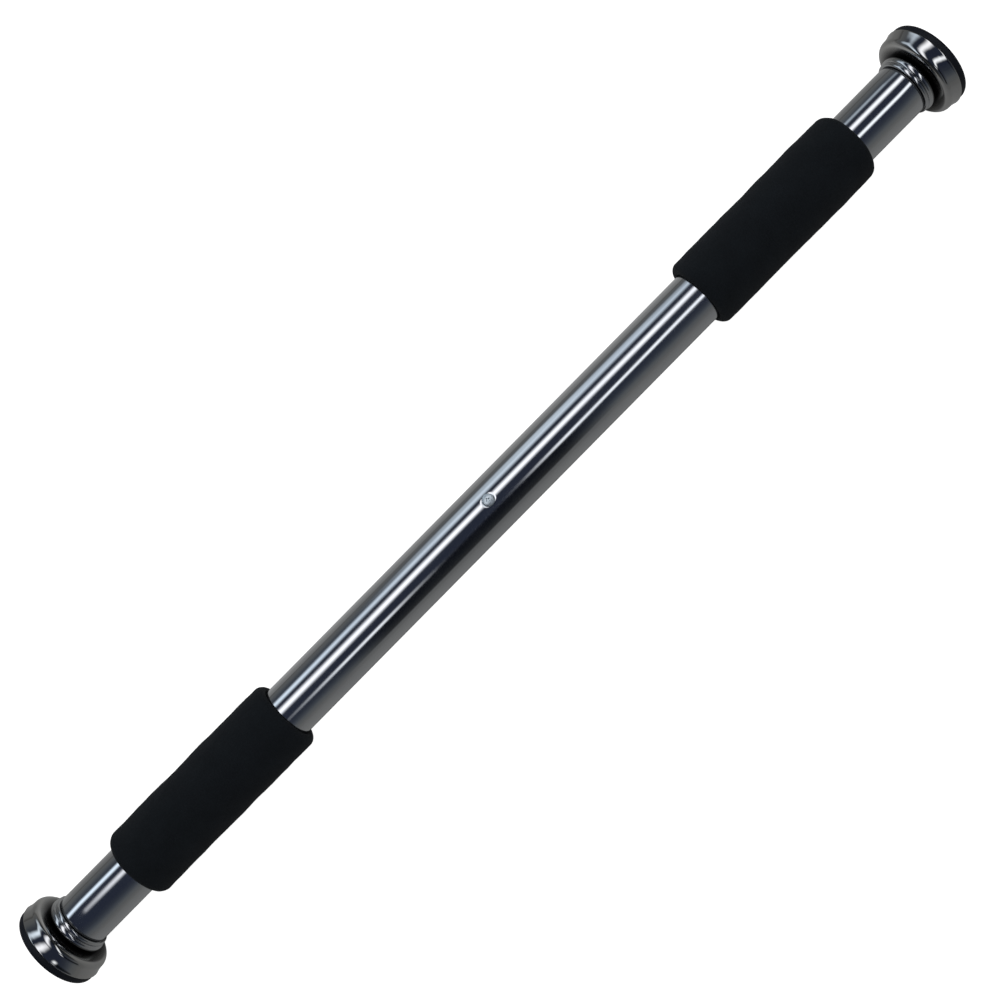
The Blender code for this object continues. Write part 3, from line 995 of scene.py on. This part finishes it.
def makePad(sideName, side, sizes, tree):
    node = sideName + "_rubber_pad"
    back, face = span(node)
    rim = span(sideName + "_end_cup")[1] + sizes["rimGap"]
    outer = radiusOf(node)
    plug = radiusOf(sideName + "_end_cup") - cupSizes["flare"] - cupSizes["wall"] - sizes["fit"]
    corner = cupSizes["corner"] - cupSizes["wall"] - sizes["fit"]
    edge, soft = sizes["edge"], sizes["softEdge"]
    recessed = face - sizes["recess"]
    land = outer - edge - sizes["landWidth"]
    profile = [(face - sizes["floor"], 0), (face - sizes["floor"], sizes["pocketRadius"])]
    profile.append((back, sizes["pocketRadius"]))
    profile += arcPoints((back + corner, plug - corner), corner, 180, 90, 6)
    profile += [(rim, plug), (rim, outer - soft)]
    profile += arcPoints((rim + soft, outer - soft), soft, 180, 90, 3)[1:]
    profile += arcPoints((face - edge, outer - edge), edge, 90, 0, 10)
    profile += arcPoints((face - soft, land + soft), soft, 0, -90, 3)
    profile.append((recessed, land))
    # ribs with soft edges stand up between the land and the middle
    pitch = land / (sizes["ribs"] + 1)
    half = sizes["ribWidth"] / 2
    for number in range(sizes["ribs"], 0, -1):
        at = pitch * number
        profile.append((recessed, at + half + soft))
        profile += [(face - soft, at + half), (face, at + half - soft)]
        profile += [(face, at - half + soft), (face - soft, at - half)]
        profile.append((recessed, at - half - soft))
    profile.append((recessed, 0))
    bm = turnedMesh(profile, sizes["columns"], side, True)
    # nubs between the ribs, sunk a little into the face that they stand on
    sunk = sizes["nubSunk"]
    height = sizes["recess"] * sizes["nubShare"] + sunk
    for number in range(sizes["ribs"]):
        mesh = nubRing(pitch * (number + 1.5), recessed - sunk, height, sizes, tree)
        for vert in mesh.vertices:
            vert.co.x *= side
        bm.from_mesh(mesh)
        bpy.data.meshes.remove(mesh)
    bmesh.ops.recalc_face_normals(bm, faces=bm.faces)
    pad = finishPiece(sideName + "_grip_pad", bm, "padRubber", sharpAngle=50)
    settle(pad, sideName + "_end", node)


nubTree = makeNubTree(padSizes)
for sideName, side in sides.items():
    makeTubeRing(sideName, side, ringSizes)
    makeCollar(sideName, side, collarSizes)
    makeCup(sideName, side, cupSizes)
    makePad(sideName, side, padSizes, nubTree)
print("ends made")


# pieces that stay as the frame has them

keptFinishes = {
    "core_plug": "bushNylon",
    "thread_nut": "threadSteel",
    "guide_bush": "bushNylon",
    "guide_clip": "screwZinc",
    "spindle_plug": "screwZinc",
    "cup_washer": "screwZinc",
    "cup_bolt": "screwZinc",
}


def paintKept():
    for name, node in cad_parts.items():
        if node.hide_render:
            continue
        finish = next(finish for ending, finish in keptFinishes.items() if name.endswith(ending))
        node.data.materials.clear()
        node.data.materials.append(finishes[finish])


paintKept()
print("kept pieces painted")


# floor, room and lights

roomSizes = {
    "floorGap": 0.0002,
    "floorHalf": 4.0,
    "floorColour": (0.45, 0.45, 0.45),
    "floorLight": 0.50,
    "floorGlow": 0.92,
    "floorEndsDim": 0.72,
    "floorEndsSoft": (0.05, 0.01),  # how far before the tube's end this starts and is full
    "farSideSoft": 0.01,
    "sky": (1.0, 1.0, 1.0),
    "roomLight": (0.50, 0.50, 0.50),
    "tint": (1.0, 1.0, 0.99),
    "endsDim": 0.25,
    "endsDimFrom": 0.50,
    "endsDimTo": 0.85,
}
# how bright the floor is in the chrome, at distances from the bar in metres: darkest right under it, a
# painted shadow of the bar
floorInChrome = (
    (-0.50, 0.130),
    (-0.24, 0.135),
    (-0.08, 0.165),
    (-0.024, 0.190),
    (-0.012, 0.03),
    (0.012, 0.03),
    (0.026, 0.36),
    (0.036, 0.35),
    (0.090, 0.24),
    (0.50, 0.12),
)
# the room's colour in the chrome, at heights over the horizon, as the sine of the angle
roomInChrome = (
    (0.00, (0.120, 0.122, 0.122)),
    (0.22, (0.098, 0.104, 0.110)),
    (0.40, (0.056, 0.064, 0.078)),
    (0.56, (0.032, 0.038, 0.052)),
    (0.75, (0.020, 0.025, 0.042)),
    (1.00, (0.020, 0.025, 0.042)),
)


def rampNode(tree, socket, stops):
    # a colour ramp over a value from 0 to 1
    ramp = addNode(tree, "ShaderNodeValToRGB", {"Fac": socket})
    points = ramp.color_ramp.elements
    while len(points) < len(stops):
        points.new(1.0)
    for point, (place, colour) in zip(points, stops):
        point.position = place
        point.color = (*colour, 1.0)
    return ramp.outputs["Color"]


def mixShaders(tree, share, first, second):
    inputs = {"Fac": share, 1: first.outputs[0], 2: second.outputs[0]}
    return addNode(tree, "ShaderNodeMixShader", inputs)


def stageMesh(name, bm, material):
    piece = meshPiece(name, bm, material)
    return piece


def makeFloor(sizes):
    bm = bmesh.new()
    bmesh.ops.create_grid(bm, x_segments=1, y_segments=1, size=sizes["floorHalf"])
    bmesh.ops.translate(bm, verts=bm.verts, vec=(0, 0, cadBox[0].z - sizes["floorGap"]))
    material, tree = newMaterial("paleFloor")
    rays = addNode(tree, "ShaderNodeLightPath").outputs
    matt = addNode(tree, "ShaderNodeBsdfDiffuse", {"Color": (*sizes["floorColour"], 1.0)})
    seen = mapValue(tree, rays["Is Camera Ray"], sizes["floorLight"], sizes["floorGlow"])
    glow = addNode(tree, "ShaderNodeEmission", {"Strength": seen})
    bright = addNode(tree, "ShaderNodeAddShader", {0: matt.outputs[0], 1: glow.outputs[0]})
    place = addNode(tree, "ShaderNodeSeparateXYZ", {"Vector": objectPlace(tree)}).outputs
    near, far = floorInChrome[0][0], floorInChrome[-1][0]
    across = mapValue(tree, place["Y"], 0.0, 1.0, near, far)
    stops = []
    for y, level in floorInChrome:
        stops.append(((y - near) / (far - near), [level * tone for tone in sizes["tint"]]))
    # past the bar's ends the floor is dimmer on its far side
    start, full = (tubeEnd - soft for soft in sizes["floorEndsSoft"])
    pastEnd = mapValue(tree, calc(tree, "ABSOLUTE", place["X"]), 0.0, 1.0, start, full)
    farSide = mapValue(tree, place["Y"], 0.0, 1.0, 0.0, sizes["farSideSoft"])
    inputs = {
        "Color": rampNode(tree, across, stops),
        "Strength": mapValue(tree, calc(tree, "MULTIPLY", pastEnd, farSide), 1.0, sizes["floorEndsDim"]),
    }
    mirrored = addNode(tree, "ShaderNodeEmission", inputs)
    showShader(tree, mixShaders(tree, rays["Is Glossy Ray"], bright, mirrored))
    stageMesh("floor", bm, material)


def makeRoom(sizes):
    # white to the camera, plain light for matt surfaces, and a dim room in the chrome
    world = bpy.data.worlds.new("room")
    bpy.context.scene.world = world
    world.use_nodes = True
    tree = world.node_tree
    tree.nodes.clear()
    rays = addNode(tree, "ShaderNodeLightPath").outputs
    coords = addNode(tree, "ShaderNodeTexCoord").outputs["Generated"]
    split = addNode(tree, "ShaderNodeSeparateXYZ", {"Vector": coords}).outputs
    seen = addNode(tree, "ShaderNodeBackground", {"Color": (*sizes["sky"], 1.0)})
    plain = addNode(tree, "ShaderNodeBackground", {"Color": (*sizes["roomLight"], 1.0)})
    # the room is dimmer past the ends of the bar
    sideways = calc(tree, "ABSOLUTE", split["X"])
    start, end = sizes["endsDimFrom"], sizes["endsDimTo"]
    dim = mapValue(tree, sideways, 1.0, sizes["endsDim"], start, end, "SMOOTHSTEP")
    inputs = {"Color": rampNode(tree, split["Z"], roomInChrome), "Strength": dim}
    mirrored = addNode(tree, "ShaderNodeBackground", inputs)
    byGloss = mixShaders(tree, rays["Is Glossy Ray"], plain, mirrored)
    showShader(tree, mixShaders(tree, rays["Is Camera Ray"], byGloss, seen), "World")


# long lamps and windows that only the chrome sees. Each row is a place along the bar, the angle over +Y,
# the width in degrees at half brightness, and the brightness
stripDistance = 1.2
stripStep = 0.03
strips = {
    "window": {
        "colour": (0.80, 0.90, 1.0),
        "rows": (
            (-2.0, 51.0, 12, 1.2),
            (-0.83, 47.3, 13, 1.32),
            (-0.40, 44.5, 14, 1.10),
            (-0.27, 41.0, 15, 0.90),
            (-0.09, 38.7, 17, 0.90),
            (0.27, 35.4, 16, 0.85),
            (0.42, 35.0, 14, 0.75),
            (0.79, 35.3, 10, 0.48),
            (0.92, 35.3, 9, 0.28),
            (2.0, 34.0, 9, 0.28),
        ),
    },
    "windowGlow": {
        "colour": (0.80, 0.90, 1.0),
        "rows": (
            (-0.28, 23.0, 10, 0.0),
            (-0.05, 22.5, 11, 0.45),
            (0.12, 22.0, 12, 0.62),
            (0.30, 22.0, 11, 0.50),
            (0.45, 22.5, 10, 0.30),
            (0.80, 23.0, 9, 0.0),
        ),
    },
    "lamp": {
        "colour": (0.97, 0.97, 1.0),
        "rows": (
            (-0.92, 85.2, 14, 0.0),
            (-0.85, 84.6, 14, 0.35),
            (-0.78, 84.0, 15, 1.10),
            (-0.40, 80.3, 17, 1.50),
            (-0.09, 75.8, 16, 1.50),
            (0.27, 72.9, 15, 1.45),
            (0.79, 68.0, 14, 1.45),
            (2.2, 55.0, 14, 1.3),
        ),
    },
    "doorwayLeft": {
        "colour": (0.95, 0.97, 1.0),
        "rows": (
            (-0.46, 125.9, 8, 0.0),
            (-0.40, 125.6, 9, 0.30),
            (-0.33, 125.0, 9, 1.15),
            (-0.25, 124.0, 9, 1.30),
            (-0.19, 123.3, 9, 0.45),
            (-0.13, 123.0, 9, 0.0),
        ),
    },
    "doorwayRight": {
        "colour": (0.95, 0.97, 1.0),
        "rows": (
            (0.04, 120.8, 9, 0.0),
            (0.08, 120.4, 9, 0.45),
            (0.13, 119.8, 9, 1.35),
            (0.27, 118.0, 9, 1.30),
            (0.40, 115.0, 10, 1.45),
            (0.79, 111.2, 10, 1.45),
            (2.2, 100.0, 10, 1.4),
        ),
    },
}


def eased(rows, x, column):
    # a smooth value between the rows on both sides of x
    for before, after in zip(rows, rows[1:]):
        if x <= after[0]:
            share = (x - before[0]) / (after[0] - before[0])
            share = share * share * (3 - 2 * share)
            return before[column] + (after[column] - before[column]) * share
    return rows[-1][column]


def onArc(x, angle, distance):
    turn = math.radians(angle)
    return Vector((x, distance * math.cos(turn), distance * math.sin(turn)))


def showOnlyInChrome(piece):
    piece.visible_camera = False
    piece.visible_diffuse = False
    piece.visible_shadow = False
    piece.visible_transmission = False


def makeStrip(name, colour, rows):
    # brightness is highest along its middle and falls softly to both edges
    bm = bmesh.new()
    glow = bm.verts.layers.float.new("glow")
    halfSteps = 8
    lines = []
    for x in stationsBetween(rows[0][0], rows[-1][0], stripStep):
        angle, width, brightness = (eased(rows, x, column) for column in (1, 2, 3))
        line = []
        for step in range(2 * halfSteps + 1):
            across = step / halfSteps - 1
            vert = bm.verts.new(onArc(x, angle + across * width, stripDistance))
            vert[glow] = brightness * math.cos(across * math.pi / 2) ** 2
            line.append(vert)
        lines.append(line)
    skinRows(bm, lines)
    material, tree = newMaterial(name)
    level = addNode(tree, "ShaderNodeAttribute", attribute_name="glow").outputs["Fac"]
    lit = addNode(tree, "ShaderNodeEmission", {"Color": (*colour, 1.0), "Strength": level})
    clear = addNode(tree, "ShaderNodeBsdfTransparent")
    showShader(tree, addNode(tree, "ShaderNodeAddShader", {0: lit.outputs[0], 1: clear.outputs[0]}))
    showOnlyInChrome(stageMesh(name, bm, material))


fillSizes = {"height": 1.3, "across": 1.1, "size": 2.4, "brightness": 0.80}


def makeFill(sizes):
    light = bpy.data.lights.new("softFill", "AREA")
    light.shape = "SQUARE"
    light.size = sizes["size"]
    light.energy = sizes["brightness"] * math.pi * sizes["size"] ** 2
    lamp = bpy.data.objects.new("softFill", light)
    lamp.location = (0, sizes["across"], sizes["height"])
    lamp.rotation_euler.x = -math.atan2(sizes["across"], sizes["height"])
    lamp.visible_camera = False
    lamp.visible_glossy = False
    bpy.context.scene.collection.objects.link(lamp)


# a dark figure stands between the near lamps and dims the room behind it; angles are in degrees over +Y
figureSizes = {
    "distance": 1.3,
    "low": 130.0,
    "lowSoft": 12,
    "high": 170.0,
    "highSoft": 6,
    "left": -0.26,
    "right": 0.14,
    "soft": 0.10,
    "dark": 0.20,
    "step": 0.02,
    "turnStep": 3,
}


def makeFigure(sizes):
    bm = bmesh.new()
    keep = bm.verts.layers.float.new("keep")
    left, right, soft = sizes["left"], sizes["right"], sizes["soft"]
    low, lowSoft, high, highSoft = (sizes[name] for name in ("low", "lowSoft", "high", "highSoft"))
    lines = []
    for x in stationsBetween(left - soft, right + soft, sizes["step"]):
        outside = max(left - x, x - right, 0) / soft
        line = []
        for angle in stationsBetween(low - lowSoft, high + highSoft, sizes["turnStep"]):
            past = max((low - angle) / lowSoft, (angle - high) / highSoft, 0)
            vert = bm.verts.new(onArc(x, angle, sizes["distance"]))
            vert[keep] = sizes["dark"] + (1 - sizes["dark"]) * min(1.0, math.hypot(outside, past))
            line.append(vert)
        lines.append(line)
    skinRows(bm, lines)
    material, tree = newMaterial("darkFigure")
    level = addNode(tree, "ShaderNodeAttribute", attribute_name="keep").outputs["Fac"]
    showShader(tree, addNode(tree, "ShaderNodeBsdfTransparent", {"Color": level}))
    showOnlyInChrome(stageMesh("darkFigure", bm, material))


makeFloor(roomSizes)
makeRoom(roomSizes)
for name, facts in strips.items():
    makeStrip(name, facts["colour"], facts["rows"])
makeFill(fillSizes)
makeFigure(figureSizes)
print("stage set")
